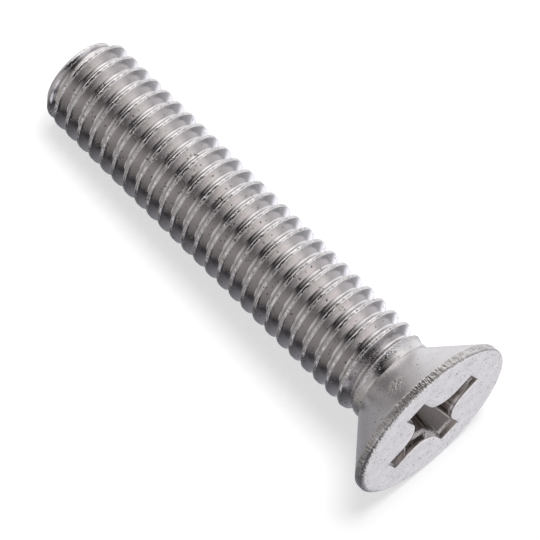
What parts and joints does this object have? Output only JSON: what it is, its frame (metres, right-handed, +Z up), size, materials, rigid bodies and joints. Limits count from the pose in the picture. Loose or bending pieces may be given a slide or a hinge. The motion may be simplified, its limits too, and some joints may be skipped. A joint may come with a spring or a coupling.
{
  "type": "countersunk machine screw",
  "caption": "Countersunk machine screw with a flat head, a cross recess and a coarse thread that runs almost up to the cone, lying on its side.",
  "frame": {"origin": "centre of the bounding box's base, on the table that the screw lies on", "axes": "+X towards the head along the table, +Z up; the screw's own axis leans 4.86 degrees, with the head higher"},
  "size_m": [0.0302, 0.0106, 0.0106],
  "materials": {
    "screw": "plain stainless steel, cold formed and thread rolled, with fine scuffs"
  },
  "bodies": {
    "root": {"screw": "screw"}
  },
  "joints": []
}
